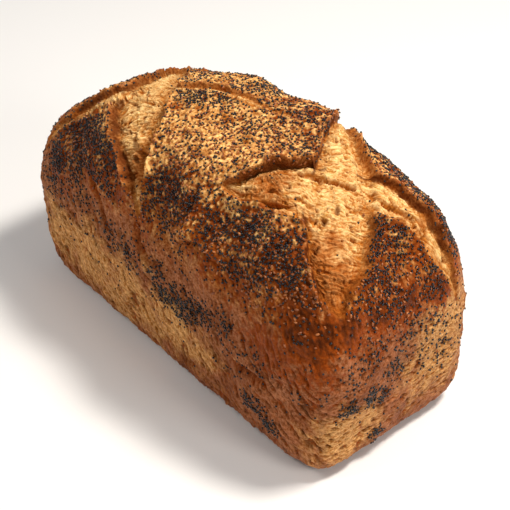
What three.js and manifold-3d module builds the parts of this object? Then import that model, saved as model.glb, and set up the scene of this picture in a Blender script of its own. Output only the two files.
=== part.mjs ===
// Seeded sourdough loaf baked in a tin, one solid, millimetres, Z up, resting on Z = 0.
// The long axis is X. The end at +X and the long side at -Y are the ones best seen.
import * as THREE from 'three';
import { MeshSurfaceSampler } from 'three/addons/math/MeshSurfaceSampler.js';
import Module from 'manifold-3d';

// Overall form
const LENGTH = 270;
const WIDTH = 131.6;
const HEIGHT = 157;
// Height at which the walls are widest and the dome begins
const SHOULDER_Z = 74.4;
// Share by which the walls draw in between the shoulder and the base
const TAPER = { along: 0.035, across: 0.12 };
// Squareness of the plan: exponent of the superellipse at each level
const SQUARENESS = { base: 10, shoulder: 6.6, crown: 2.5, fade: 0.7 };
// Dome profile, and how the crown line falls to the ends and leans to one of them
const DOME = { plan: 2.96, rise: 2.25, fall: 0.068, lean: 0.058 };
// Rounding radius of the edge round the base
const BASE_EDGE = 14;
// Level up to which the surface relief fades in above the base
const RELIEF_FROM_Z = 28;

// Scoring cuts that tore open in the oven. Each path runs through points given as
// distance along the loaf in mm and tilt about the long axis in degrees from straight up,
// minus towards the front, with a half width at each point.
// Lips are the raised edges and walls the run from the edge down to the floor, left and right of the path.
const SLASHES = [
  {
    path: [[-14, -63], [-20, -54], [-25, -46], [-32, -39], [-42, -31], [-55, -21]],
    halfWidths: [1.5, 5, 10, 14, 18, 20], depth: 6.2, lips: [2.4, 0.6], walls: [6, 11],
  },
  {
    path: [[-55, -21], [-69, -6], [-84, 12], [-101, 32]],
    halfWidths: [20, 17, 12, 9], depth: 5.4, lips: [1.2, 0.6], walls: [9, 9],
  },
  {
    path: [[122, -47], [114, -38], [109, -28], [101, -18], [91, -8], [79, 3], [67, 11], [57, 17], [45, 25], [22, 44]],
    halfWidths: [4, 14, 18, 20, 20, 18, 16, 14, 10, 5], depth: 7, lips: [2.6, 1.2], walls: [6, 9],
  },
  {
    path: [[-117, -64], [-108, -50], [-98, -40], [-87, -31], [-74, -21], [-62, -10]],
    halfWidths: [3, 5, 7.5, 9, 10, 11], depth: 4.4, lips: [1.2, 2], walls: [7, 5],
  },
  {
    path: [[-58, -8], [-45, -3], [-30, 1], [-10, 5], [8, 7], [26, 10]],
    halfWidths: [6, 5.5, 5, 4.4, 3, 1], depth: 5, lips: [2.4, 1], walls: [3, 3],
  },
  {
    path: [[33, -31], [40, -29], [48, -26], [57, -20], [68, -14], [80, -8]],
    halfWidths: [1, 6, 10.5, 15, 18.5, 20], depth: 7, lips: [4.4, 1.6], walls: [4, 5],
  },
  {
    path: [[82, 9], [90, 12], [96, 15], [103, 19], [109, 24], [117, 30], [124, 39], [130, 55], [133, 74]],
    halfWidths: [10, 12, 12.5, 11, 9.5, 8.5, 6.5, 4, 2], depth: 5.4, lips: [2, 1.6], walls: [7, 5],
  },
];
// Narrow folds and cracks on the flanks, with one edge standing proud
const FOLDS = [
  { path: [[-62, -60], [-50, -72], [-40, -88]], halfWidth: 3, depth: 1.8, lip: 1.4 },
  { path: [[-14, -64], [-13, -74], [-3, -82], [14, -78]], halfWidth: 3.4, depth: 2.4, lip: 1.6 },
  { path: [[14, -66], [24, -56], [34, -54], [50, -58]], halfWidth: 3.4, depth: 2, lip: 2.6 },
  { path: [[62, -106], [80, -103], [98, -104]], halfWidth: 4, depth: 2.2, lip: 2 },
];
// Broad swellings and hollows of the dough: place by distance along and tilt, spread and height in mm
const SWELLS = [
  { place: [104, 38], spread: 26, height: 4 },
  { place: [-76, 24], spread: 28, height: -5.5 },
  { place: [88, -124], spread: 26, height: 2.4 },
  { place: [24, 22], spread: 22, height: 2.4 },
  { place: [48, 36], spread: 16, height: -2.6 },
  { place: [-106, 30], spread: 24, height: -4.5 },
];
// Most of the half width that a slash wall may take up
const MOST_WALL = 0.7;
// Half width under which a slash grows shallow
const FULL_DEPTH_HALF_WIDTH = 9;
// Height of the swelling along the middle of a slash floor
const FLOOR_SWELL = 2.2;
// Distance over which a raised lip dies away
const LIP_SPREAD = 8;
// Wander of the torn edges to and fro across the path, and its radians from end to end
const EDGE_WANDER = { size: 0.6, slow: 17, quick: 31 };
// Share of a fold's length over which each end dies away
const FOLD_ENDS = 0.2;
// Waves of gentle unevenness over the whole crust: height in mm and direction per mm
const LUMPS = [
  { height: 0.9, along: [0.083, 0.041, 0.062], start: 0.4 },
  { height: 0.7, along: [-0.058, 0.097, 0.071], start: 2.1 },
  { height: 0.5, along: [0.142, -0.069, 0.118], start: 4.4 },
  { height: 0.4, along: [0.171, 0.154, -0.092], start: 1.3 },
];
// Crags of torn crumb on the slash floors: height in mm and direction per mm
const CRAGS = [
  { height: 0.5, along: [0.19, 0.36, 0.24], start: 0.9 },
  { height: 0.4, along: [-0.29, 0.38, 0.18], start: 3.2 },
];

// Grid over the crown, and rows down the walls
const CROWN_COLUMNS = 60;
const CROWN_ROWS = 32;
const CROWN_BORDER = 0.9;
// Bunching of the crown grid towards its border along and across the loaf, in radians
const CROWN_BUNCHING = { along: 1.0, across: 1.3 };
const WALL_LEVELS = [0, 1.5, 6, 14, 29, 44, 59, 73];
const DOME_ROWS = 4;
// Distance over which the relief is softened round each corner of the grid
const SOFTENING = 1.3;
// Steps along each slash and fold
const TRACK_STEPS = 90;

// Seeds fused to the crust
const SEEDS = { count: 92, spacing: 9, length: 2.3, width: 1.6, height: 1.2, sunk: 0.3 };
// Sizes of the first and the last seed, and the random draw that places them
const SEED_SIZES = { first: 1.1, last: 0.85 };
const SEED_DRAW = { start: 7, tries: 20000 };
// Seeds lie on the crust above this level
const SEEDED_FROM_Z = 84;
// Openness of a slash beyond which the torn crumb carries no seed
const SEEDLESS_OPENNESS = 0.05;

// Height of the axis that tilts are measured about
const AXIS_Z = 75;
const degrees = Math.PI / 180;

function smoothStep(from, to, value) {
  return THREE.MathUtils.smoothstep(value, from, to);
}

function wallFall(z) {
  return Math.max(0, (SHOULDER_Z - z) / SHOULDER_Z);
}

// Half length and half width of the tin-shaped part at a level
function halfSizes(z) {
  const fall = wallFall(z);
  const gap = THREE.MathUtils.clamp(BASE_EDGE - z, 0, BASE_EDGE);
  const inset = BASE_EDGE - Math.sqrt(BASE_EDGE ** 2 - gap ** 2);
  return [
    (LENGTH / 2) * (1 - TAPER.along * fall) - inset,
    (WIDTH / 2) * (1 - TAPER.across * fall) - inset,
  ];
}

function crownZ(x) {
  const u = THREE.MathUtils.clamp(x / (LENGTH / 2), -1.2, 1.2);
  return HEIGHT * (1 - DOME.fall * u * u + DOME.lean * u);
}

function squareness(z, rise) {
  if (z < SHOULDER_Z) {
    return SQUARENESS.shoulder + (SQUARENESS.base - SQUARENESS.shoulder) * wallFall(z);
  }
  const share = Math.min(rise, 1) ** SQUARENESS.fade;
  return SQUARENESS.shoulder + (SQUARENESS.crown - SQUARENESS.shoulder) * share;
}

function planNorm(u, v, exponent) {
  return (Math.abs(u) ** exponent + Math.abs(v) ** exponent) ** (1 / exponent);
}

// Below one inside the smooth loaf and above one outside
function gauge(x, y, z) {
  const [halfLength, halfWidth] = halfSizes(z);
  const rise = Math.max(0, (z - SHOULDER_Z) / (crownZ(x) - SHOULDER_Z));
  const plan = planNorm(x / halfLength, y / halfWidth, squareness(z, rise));
  return plan ** DOME.plan + rise ** DOME.rise;
}

function skinNormal(p) {
  const step = 0.4;
  const normal = new THREE.Vector3(
    gauge(p.x + step, p.y, p.z) - gauge(p.x - step, p.y, p.z),
    gauge(p.x, p.y + step, p.z) - gauge(p.x, p.y - step, p.z),
    gauge(p.x, p.y, p.z + step) - gauge(p.x, p.y, p.z - step),
  );
  return normal.normalize();
}

// Point of the smooth skin met by a ray from the long axis
function skinPoint(x, tilt) {
  const y = Math.sin(tilt * degrees);
  const z = Math.cos(tilt * degrees);
  let inside = 0;
  let outside = HEIGHT;
  for (let i = 0; i < 40; i += 1) {
    const middle = (inside + outside) / 2;
    if (gauge(x, y * middle, AXIS_Z + z * middle) < 1) inside = middle;
    else outside = middle;
  }
  return new THREE.Vector3(x, y * inside, AXIS_Z + z * inside);
}

// Evenly spaced points of a path laid on the skin, each with the half width there
function trackOf(path, halfWidths) {
  const curve = new THREE.CatmullRomCurve3(path.map(([x, tilt]) => skinPoint(x, tilt)), false, 'centripetal');
  const last = path.length - 1;
  return curve.getSpacedPoints(TRACK_STEPS).map((point, step) => {
    const reached = curve.getUtoTmapping(step / TRACK_STEPS) * last;
    const before = Math.min(Math.floor(reached), last - 1);
    const halfWidth = THREE.MathUtils.lerp(halfWidths[before], halfWidths[before + 1], reached - before);
    return { point, halfWidth };
  });
}

// Distance to a track, how far along it that is, the half width there, and on which side, seen from outside
function nearTrack(track, p, normal) {
  const closest = new THREE.Vector3();
  const segment = new THREE.Line3();
  const found = { distance: Infinity, along: 0, halfWidth: 0, left: false };
  for (let i = 0; i + 1 < track.length; i += 1) {
    segment.set(track[i].point, track[i + 1].point);
    const share = segment.closestPointToPointParameter(p, true);
    segment.at(share, closest);
    const distance = closest.distanceTo(p);
    if (distance < found.distance) {
      const heading = segment.delta(new THREE.Vector3());
      const offset = p.clone().sub(closest);
      found.distance = distance;
      found.along = (i + share) / (track.length - 1);
      found.halfWidth = THREE.MathUtils.lerp(track[i].halfWidth, track[i + 1].halfWidth, share);
      found.left = heading.cross(offset).dot(normal) > 0;
    }
  }
  return found;
}

function waves(list, p) {
  let total = 0;
  for (const { height, along, start } of list) {
    total += height * Math.sin(along[0] * p.x + along[1] * p.y + along[2] * p.z + start);
  }
  return total;
}

const slashTracks = SLASHES.map((slash) => ({ ...slash, track: trackOf(slash.path, slash.halfWidths) }));
const foldTracks = FOLDS.map((fold) => ({ ...fold, track: trackOf(fold.path, fold.path.map(() => fold.halfWidth)) }));
const swellPlaces = SWELLS.map((swell) => ({ ...swell, middle: skinPoint(...swell.place) }));

// How far the crust stands off the smooth skin, and how open a slash is there
function relief(p, normal) {
  let open = 0;
  let floor = 0;
  let lip = 0;
  for (const { track, depth, lips, walls } of slashTracks) {
    const near = nearTrack(track, p, normal);
    const slow = Math.sin(near.along * EDGE_WANDER.slow + depth);
    const quick = Math.sin(near.along * EDGE_WANDER.quick + 2 * depth);
    const halfWidth = Math.max(1, near.halfWidth + EDGE_WANDER.size * (slow + quick));
    const wall = Math.min(near.left ? walls[0] : walls[1], MOST_WALL * halfWidth);
    const dropped = smoothStep(0, wall, halfWidth - near.distance);
    const shallow = Math.min(1, halfWidth / FULL_DEPTH_HALF_WIDTH);
    const swell = FLOOR_SWELL * Math.max(0, 1 - (near.distance / halfWidth) ** 2) * shallow;
    open = Math.max(open, dropped);
    floor = Math.min(floor, dropped * (swell - depth * shallow));
    const beyond = Math.max(0, near.distance - halfWidth);
    const fading = Math.exp(-((beyond / LIP_SPREAD) ** 2)) * shallow;
    lip = Math.max(lip, (near.left ? lips[0] : lips[1]) * fading);
  }
  let fold = 0;
  for (const { track, depth, lip: edge } of foldTracks) {
    const near = nearTrack(track, p, normal);
    const ends = smoothStep(0, FOLD_ENDS, Math.min(near.along, 1 - near.along));
    const groove = depth * (1 - smoothStep(0, near.halfWidth, near.distance));
    const proud = near.left ? 0 : edge * Math.exp(-((near.distance / LIP_SPREAD) ** 2));
    fold += (proud - groove) * ends;
  }
  let swelling = waves(LUMPS, p);
  for (const { middle, spread, height } of swellPlaces) {
    swelling += height * Math.exp(-((middle.distanceTo(p) / spread) ** 2));
  }
  const fade = smoothStep(0, RELIEF_FROM_Z, p.z);
  const crust = (1 - open) * (lip + fold) + swelling;
  return { height: fade * (crust + floor + open * waves(CRAGS, p)), open };
}

// Point of the smooth skin at a level of the tin, in a direction on the unit square
function wallPoint(u, v, z) {
  const [halfLength, halfWidth] = halfSizes(z);
  const scale = 1 / planNorm(u, v, squareness(z, 0));
  return new THREE.Vector3(halfLength * u * scale, halfWidth * v * scale, z);
}

// Point of the smooth skin of the dome, at a share of the plan out from the middle
function domePoint(u, v, share) {
  const rise = (1 - share ** DOME.plan) ** (1 / DOME.rise);
  const exponent = squareness(SHOULDER_Z, rise);
  const scale = share / Math.max(planNorm(u, v, exponent), 1e-9);
  const x = (LENGTH / 2) * u * scale;
  const y = (WIDTH / 2) * v * scale;
  return new THREE.Vector3(x, y, SHOULDER_Z + rise * (crownZ(x) - SHOULDER_Z));
}

function bunched(value, angle) {
  return Math.sin(value * angle) / Math.sin(angle);
}

const vertices = [];
const openness = [];
const heights = [];

// Relief at a place of the skin, softened with that of four places round it
function softRelief(skin, normal) {
  const sideways = new THREE.Vector3(1, 1, 1).cross(normal).normalize();
  const upwards = normal.clone().cross(sideways);
  const places = [skin];
  for (const way of [sideways, upwards]) {
    places.push(skin.clone().addScaledVector(way, SOFTENING), skin.clone().addScaledVector(way, -SOFTENING));
  }
  const reliefs = places.map((place) => relief(place, normal));
  const share = 1 / reliefs.length;
  return {
    height: reliefs.reduce((sum, { height }) => sum + height * share, 0),
    open: reliefs.reduce((sum, { open }) => sum + open * share, 0),
  };
}

function addVertex(skin) {
  const normal = skinNormal(skin);
  const { height, open } = softRelief(skin, normal);
  const p = skin.clone().addScaledVector(normal, height);
  if (skin.z === 0) p.z = 0;
  vertices.push(p.x, p.y, Math.max(0, p.z));
  openness.push(open);
  heights.push(height);
  return heights.length - 1;
}

const triangles = [];

// Two triangles over a four-sided patch, split between the corners of more equal relief
function addPatch(a, b, c, d) {
  const first = Math.abs(heights[a] - heights[c]);
  const second = Math.abs(heights[b] - heights[d]);
  if (first <= second) triangles.push(a, b, c, a, c, d);
  else triangles.push(a, b, d, b, c, d);
}

// Crown
const crown = [];
for (let row = 0; row <= CROWN_ROWS; row += 1) {
  const line = [];
  for (let column = 0; column <= CROWN_COLUMNS; column += 1) {
    const u = bunched((2 * column) / CROWN_COLUMNS - 1, CROWN_BUNCHING.along);
    const v = bunched((2 * row) / CROWN_ROWS - 1, CROWN_BUNCHING.across);
    const share = CROWN_BORDER * Math.max(Math.abs(u), Math.abs(v));
    line.push(addVertex(domePoint(u, v, share)));
  }
  crown.push(line);
}
for (let row = 0; row < CROWN_ROWS; row += 1) {
  for (let column = 0; column < CROWN_COLUMNS; column += 1) {
    addPatch(crown[row][column], crown[row][column + 1], crown[row + 1][column + 1], crown[row + 1][column]);
  }
}

// Border of the crown grid, anticlockwise seen from above, as directions on the unit square
const border = [];
const directions = [];
function addBorder(row, column) {
  border.push(crown[row][column]);
  const u = bunched((2 * column) / CROWN_COLUMNS - 1, CROWN_BUNCHING.along);
  const v = bunched((2 * row) / CROWN_ROWS - 1, CROWN_BUNCHING.across);
  directions.push([u, v]);
}
for (let column = 0; column < CROWN_COLUMNS; column += 1) addBorder(0, column);
for (let row = 0; row < CROWN_ROWS; row += 1) addBorder(row, CROWN_COLUMNS);
for (let column = CROWN_COLUMNS; column > 0; column -= 1) addBorder(CROWN_ROWS, column);
for (let row = CROWN_ROWS; row > 0; row -= 1) addBorder(row, 0);

// Rings down from the crown border over the dome edge and the walls to the base
const borderRise = (1 - CROWN_BORDER ** DOME.plan) ** (1 / DOME.rise);
const rings = [border];
for (let row = DOME_ROWS - 1; row > 0; row -= 1) {
  const rise = (borderRise * row) / DOME_ROWS;
  const share = (1 - rise ** DOME.rise) ** (1 / DOME.plan);
  rings.push(directions.map(([u, v]) => addVertex(domePoint(u, v, share))));
}
for (const level of [...WALL_LEVELS].reverse()) {
  rings.push(directions.map(([u, v]) => addVertex(wallPoint(u, v, level))));
}
for (let ring = 0; ring + 1 < rings.length; ring += 1) {
  const upper = rings[ring];
  const lower = rings[ring + 1];
  for (let i = 0; i < upper.length; i += 1) {
    const next = (i + 1) % upper.length;
    addPatch(upper[i], lower[i], lower[next], upper[next]);
  }
}

// Flat base
const foot = rings[rings.length - 1];
const middle = heights.length;
vertices.push(0, 0, 0);
openness.push(0);
heights.push(0);
for (let i = 0; i < foot.length; i += 1) {
  triangles.push(middle, foot[(i + 1) % foot.length], foot[i]);
}

function makeDraw(start) {
  let state = start;
  return () => {
    state = (Math.imul(state, 1664525) + 1013904223) >>> 0;
    return state / 2 ** 32;
  };
}

// Seeds, largest first, on the crust above the tin's rim and outside the slashes
const crust = new THREE.BufferGeometry();
crust.setAttribute('position', new THREE.Float32BufferAttribute(vertices, 3));
crust.setAttribute('color', new THREE.Float32BufferAttribute(openness.flatMap((open) => [open, open, open]), 3));
crust.setIndex(triangles);
const draw = makeDraw(SEED_DRAW.start);
const sampler = new MeshSurfaceSampler(new THREE.Mesh(crust)).setRandomGenerator(draw).build();

const seedPlaces = [];
const place = new THREE.Vector3();
const facing = new THREE.Vector3();
const shade = new THREE.Color();
for (let tries = 0; tries < SEED_DRAW.tries && seedPlaces.length < SEEDS.count; tries += 1) {
  sampler.sample(place, facing, shade);
  const crowded = seedPlaces.some(({ at }) => at.distanceTo(place) < SEEDS.spacing);
  if (place.z > SEEDED_FROM_Z && shade.r < SEEDLESS_OPENNESS && !crowded) {
    seedPlaces.push({ at: place.clone(), up: facing.clone() });
  }
}

const seedVertices = [];
const seedTriangles = [];
const grain = new THREE.IcosahedronGeometry(0.5, 0);
const grainCorners = grain.getAttribute('position');
const upright = new THREE.Vector3(0, 0, 1);
seedPlaces.forEach(({ at, up }, index) => {
  const size = THREE.MathUtils.lerp(SEED_SIZES.first, SEED_SIZES.last, index / SEEDS.count);
  const turn = new THREE.Quaternion().setFromUnitVectors(upright, up);
  turn.multiply(new THREE.Quaternion().setFromAxisAngle(upright, draw() * 2 * Math.PI));
  const scale = new THREE.Vector3(SEEDS.length, SEEDS.width, SEEDS.height).multiplyScalar(size);
  const seat = at.clone().addScaledVector(up, (0.5 - SEEDS.sunk) * scale.z);
  const matrix = new THREE.Matrix4().compose(seat, turn, scale);
  const known = new Map();
  for (let i = 0; i < grainCorners.count; i += 1) {
    const corner = new THREE.Vector3().fromBufferAttribute(grainCorners, i);
    const key = corner.toArray().map((value) => value.toFixed(4)).join();
    if (!known.has(key)) {
      known.set(key, seedVertices.length / 3);
      seedVertices.push(...corner.applyMatrix4(matrix).toArray());
    }
    seedTriangles.push(known.get(key));
  }
});

// The crust and its seeds as one solid
const wasm = await Module();
wasm.setup();

function solid(points, corners) {
  return new wasm.Manifold(new wasm.Mesh({
    numProp: 3,
    vertProperties: new Float32Array(points),
    triVerts: new Uint32Array(corners),
  }));
}

const joined = solid(vertices, triangles).add(solid(seedVertices, seedTriangles)).getMesh();
const loafGeometry = new THREE.BufferGeometry();
loafGeometry.setAttribute('position', new THREE.Float32BufferAttribute(joined.vertProperties, 3));
loafGeometry.setIndex(new THREE.Uint32BufferAttribute(joined.triVerts, 1));
loafGeometry.computeVertexNormals();

const loaf = new THREE.Mesh(
  loafGeometry,
  new THREE.MeshStandardMaterial({ color: 0xb07a3e, roughness: 0.85, metalness: 0 }),
);
loaf.name = 'loaf';

const bread = new THREE.Group();
bread.name = 'seeded_loaf';
bread.add(loaf);

export default bread;
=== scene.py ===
import math

import bpy
import numpy as np
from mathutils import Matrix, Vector


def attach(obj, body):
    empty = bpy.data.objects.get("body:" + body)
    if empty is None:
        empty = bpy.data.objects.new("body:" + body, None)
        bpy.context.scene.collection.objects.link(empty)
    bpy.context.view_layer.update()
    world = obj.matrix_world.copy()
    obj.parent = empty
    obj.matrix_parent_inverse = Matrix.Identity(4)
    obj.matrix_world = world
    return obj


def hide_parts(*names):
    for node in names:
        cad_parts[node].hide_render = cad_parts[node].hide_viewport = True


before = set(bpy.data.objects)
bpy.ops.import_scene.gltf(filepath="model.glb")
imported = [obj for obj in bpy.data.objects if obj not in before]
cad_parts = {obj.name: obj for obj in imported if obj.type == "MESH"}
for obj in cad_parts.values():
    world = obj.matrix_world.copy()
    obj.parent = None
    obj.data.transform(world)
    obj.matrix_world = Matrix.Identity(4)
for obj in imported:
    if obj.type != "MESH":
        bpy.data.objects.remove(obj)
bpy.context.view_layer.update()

scene = bpy.context.scene


# sRGB hex to the linear values that Blender wants
def hexColour(text):
    parts = [int(text[i:i + 2], 16) / 255 for i in (1, 3, 5)]
    return tuple(c / 12.92 if c <= 0.04045 else ((c + 0.055) / 1.055) ** 2.4 for c in parts) + (1.0,)


# adds a node, sets its properties, then sets or links its inputs
def addNode(tree, kind, settings=None, inputs=None):
    node = tree.nodes.new(kind)
    for name, value in (settings or {}).items():
        setattr(node, name, value)
    for name, value in (inputs or {}).items():
        socket = node.inputs[name]
        if isinstance(value, bpy.types.NodeSocket):
            tree.links.new(value, socket)
        else:
            socket.default_value = value
    return node


def smoothStep(low, high, value):
    t = np.clip((value - low) / (high - low), 0.0, 1.0)
    return t * t * (3.0 - 2.0 * t)


# gradient noise, about -1 to 1, repeatable; size is the grain in mm, one number or one for each axis
def noiseAt(points, size, seed):
    q = points / np.asarray(size, dtype=float) + seed * 7.31
    cell = np.floor(q).astype(np.int64)
    f = q - cell
    w = f * f * f * (f * (f * 6.0 - 15.0) + 10.0)
    total = np.zeros(len(points))
    for dx in (0, 1):
        for dy in (0, 1):
            for dz in (0, 1):
                n = (cell[:, 0] + dx) * 374761393 + (cell[:, 1] + dy) * 668265263
                n = (n + (cell[:, 2] + dz) * 1440670441 + seed * 97531) & 0xffffffff
                n = ((n ^ (n >> 13)) * 1274126177) & 0xffffffff
                n = n ^ (n >> 15)
                gx = (n & 1023) / 511.5 - 1.0
                gy = ((n >> 10) & 1023) / 511.5 - 1.0
                gz = ((n >> 20) & 1023) / 511.5 - 1.0
                slope = gx * (f[:, 0] - dx) + gy * (f[:, 1] - dy) + gz * (f[:, 2] - dz)
                wx = w[:, 0] if dx else 1.0 - w[:, 0]
                wy = w[:, 1] if dy else 1.0 - w[:, 1]
                wz = w[:, 2] if dz else 1.0 - w[:, 2]
                total += slope * wx * wy * wz
    return total * 1.5


# the loaf's smooth form, the same tin shape and dome as the solid: sizes in mm, tapers and falls as shares,
# squareness and dome as exponents, and the rows and columns of its mesh
loafForm = {
    "length": 270.0, "width": 131.6, "height": 157.0,
    "shoulder": 74.4, "taperAlong": 0.035, "taperAcross": 0.12,
    "squareBase": 10.0, "squareShoulder": 6.6, "squareCrown": 2.5, "squareFade": 0.7,
    "domePlan": 2.96, "domeRise": 2.25, "crownFall": 0.068, "crownLean": 0.058,
    "crownReach": 1.2, "baseEdge": 14.0, "axisZ": 75.0,
    "crownColumns": 400, "crownRows": 240, "crownBorder": 0.9,
    "bunchAlong": 1.0, "bunchAcross": 1.3,
    "domeRows": 30, "wallRows": 66, "edgeRows": 8,
}


def wallFall(z):
    return np.maximum(0.0, (loafForm["shoulder"] - z) / loafForm["shoulder"])


# half the length and half the width at a height, with the rounded base edge
def halfSizes(z):
    fall = wallFall(z)
    edge = loafForm["baseEdge"]
    gap = np.clip(edge - z, 0.0, edge)
    inset = edge - np.sqrt(edge ** 2 - gap ** 2)
    halfLength = loafForm["length"] / 2 * (1 - loafForm["taperAlong"] * fall) - inset
    halfWidth = loafForm["width"] / 2 * (1 - loafForm["taperAcross"] * fall) - inset
    return halfLength, halfWidth


def crownZ(x):
    u = np.clip(x / (loafForm["length"] / 2), -loafForm["crownReach"], loafForm["crownReach"])
    return loafForm["height"] * (1 - loafForm["crownFall"] * u * u + loafForm["crownLean"] * u)


# exponent of the plan: nearly square at the base, round on the crown
def squareness(z, rise):
    low = loafForm["squareShoulder"] + (loafForm["squareBase"] - loafForm["squareShoulder"]) * wallFall(z)
    share = np.clip(rise, 0.0, 1.0) ** loafForm["squareFade"]
    high = loafForm["squareShoulder"] + (loafForm["squareCrown"] - loafForm["squareShoulder"]) * share
    return np.where(z < loafForm["shoulder"], low, high)


def planNorm(u, v, exponent):
    return (np.abs(u) ** exponent + np.abs(v) ** exponent) ** (1.0 / exponent)


# below one inside the smooth loaf
def gauge(p):
    x, y, z = p[:, 0], p[:, 1], p[:, 2]
    halfLength, halfWidth = halfSizes(z)
    rise = np.maximum(0.0, (z - loafForm["shoulder"]) / (crownZ(x) - loafForm["shoulder"]))
    plan = planNorm(x / halfLength, y / halfWidth, squareness(z, rise))
    return plan ** loafForm["domePlan"] + rise ** loafForm["domeRise"]


def skinNormals(p, step=0.4):
    normals = np.empty_like(p)
    for axis in range(3):
        shift = np.zeros(3)
        shift[axis] = step
        normals[:, axis] = gauge(p + shift) - gauge(p - shift)
    return normals / np.linalg.norm(normals, axis=1, keepdims=True)


# points of the skin met by rays from the long axis, x in mm and tilt in degrees, minus to the front
def skinPoints(x, tilt, halvings=36):
    x = np.asarray(x, dtype=float)
    angle = np.radians(np.asarray(tilt, dtype=float))
    way = np.stack([np.zeros_like(x), np.sin(angle), np.cos(angle)], axis=1)
    start = np.stack([x, np.zeros_like(x), np.full_like(x, loafForm["axisZ"])], axis=1)
    inside = np.zeros_like(x)
    outside = np.full_like(x, loafForm["height"])
    for _ in range(halvings):
        middle = (inside + outside) / 2
        within = gauge(start + way * middle[:, None]) < 1
        inside = np.where(within, middle, inside)
        outside = np.where(within, outside, middle)
    return start + way * inside[:, None]


# smooth curve through (x, tilt) points, laid on the skin and measured off in even steps
def layTrack(path, widths, steps=220):
    knots = np.asarray(path, dtype=float)
    knots = np.vstack([2 * knots[0] - knots[1], knots, 2 * knots[-1] - knots[-2]])
    t = np.linspace(0, len(path) - 1, steps)
    i = np.minimum(t.astype(int), len(path) - 2)
    f = (t - i)[:, None]
    a, b, c, d = knots[i], knots[i + 1], knots[i + 2], knots[i + 3]
    flat = 2 * b + (c - a) * f
    flat = flat + (2 * a - 5 * b + 4 * c - d) * f ** 2
    flat = 0.5 * (flat + (3 * b - a - 3 * c + d) * f ** 3)
    points = skinPoints(flat[:, 0], flat[:, 1])
    lengths = np.r_[0, np.cumsum(np.linalg.norm(np.diff(points, axis=0), axis=1))]
    even = np.linspace(0, lengths[-1], steps)
    spots = np.stack([np.interp(even, lengths, points[:, k]) for k in range(3)], axis=1)
    headings = np.gradient(spots, axis=0)
    headings /= np.linalg.norm(headings, axis=1, keepdims=True)
    halfWidths = np.interp(np.interp(even, lengths, t), np.arange(len(path)), widths)
    return {"spots": spots, "headings": headings, "along": even, "halfWidths": halfWidths}


# the points near a track: their numbers, distance, mm along it, half width there, mm to its left and
# the way to it; the distances are worked out for a few thousand points at a time
def nearTrack(track, points, normals, reach=50.0, batch=6000, closest=0.05):
    spots = track["spots"]
    inside = (points > spots.min(axis=0) - reach) & (points < spots.max(axis=0) + reach)
    near = np.nonzero(inside.all(axis=1))[0]
    nearest = np.empty(len(near), dtype=int)
    for start in range(0, len(near), batch):
        part = points[near[start:start + batch]]
        nearest[start:start + batch] = ((spots ** 2).sum(axis=1) - 2 * part @ spots.T).argmin(axis=1)
    offset = points[near] - spots[nearest]
    heading = track["headings"][nearest]
    distance = np.linalg.norm(offset, axis=1)
    along = track["along"][nearest] + np.einsum("ij,ij->i", offset, heading)
    leftward = np.einsum("ij,ij->i", np.cross(heading, offset), normals[near])
    toward = -offset / np.maximum(distance, closest)[:, None]
    return near, distance, along, track["halfWidths"][nearest], leftward, toward


# scoring cuts torn open in the oven: path as (x mm, tilt degrees) with a half width at each point;
# lips, curls, walls and singes are the edges' height, overhang, run down to the floor and darkening inside,
# partly singe and partly painted shade under the lip, left and right of the path; the crumb's strands run
# across a tear unless they run along it
slashes = [
    {"path": [(-14, -63), (-20, -54), (-25, -46), (-32, -39), (-42, -31), (-55, -21)],
     "halfWidths": (1.5, 5, 10, 14, 18, 20), "depth": 5.4,
     "lips": (2.2, 0.6), "curls": (0.9, 0.2), "walls": (2.2, 11.0), "singesAndShades": (0.9, 0.2)},
    {"path": [(-55, -21), (-69, -6), (-84, 12), (-101, 32)],
     "halfWidths": (20, 17, 12, 9), "depth": 5.0,
     "lips": (1.2, 0.6), "curls": (0.9, 0.2), "walls": (5.0, 9.0), "singesAndShades": (0.7, 0.2)},
    {"path": [(122, -46), (115, -37), (110, -28), (101, -18), (91, -8), (79, 3), (67, 11), (57, 17), (45, 25),
              (22, 44)],
     "halfWidths": (3, 11.5, 16.5, 20, 20, 18, 16, 14, 10, 5), "depth": 6.0,
     "lips": (2.4, 1.2), "curls": (1.2, 0.6), "walls": (3.5, 6.0), "singesAndShades": (1.0, 0.25)},
    {"path": [(-117, -64), (-108, -50), (-98, -40), (-87, -31), (-74, -21), (-62, -10)],
     "halfWidths": (3, 5, 7.5, 9, 10, 11), "depth": 4.0,
     "lips": (1.2, 2.0), "curls": (1.0, 0.4), "walls": (4.0, 5.0), "singesAndShades": (0.8, 0.3)},
    {"path": [(-58, -8), (-45, -3), (-30, 1), (-10, 5), (8, 7), (26, 10)],
     "halfWidths": (6, 5.5, 5, 4.4, 3, 1), "depth": 4.0,
     "lips": (2.0, 1.0), "curls": (1.2, 0.4), "walls": (3.0, 3.0), "singesAndShades": (0.5, 0.2)},
    {"path": [(33, -31), (40, -29), (48, -26), (57, -20), (68, -14), (80, -8)],
     "halfWidths": (1, 6, 10.5, 15, 18.5, 20), "depth": 6.0, "strandsAlong": True,
     "lips": (3.4, 1.6), "curls": (2.4, 0.6), "walls": (2.4, 5.0), "singesAndShades": (0.8, 0.2)},
    {"path": [(82, 9), (90, 12), (96, 15), (103, 19), (109, 24), (117, 30), (124, 39), (130, 55), (133, 74)],
     "halfWidths": (10, 12, 12.5, 11, 9.5, 8.5, 6.5, 4, 2), "depth": 4.6, "strandsAlong": True,
     "lips": (1.6, 1.4), "curls": (1.2, 0.6), "walls": (3.5, 5.0), "singesAndShades": (0.9, 0.2)},
]
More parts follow.
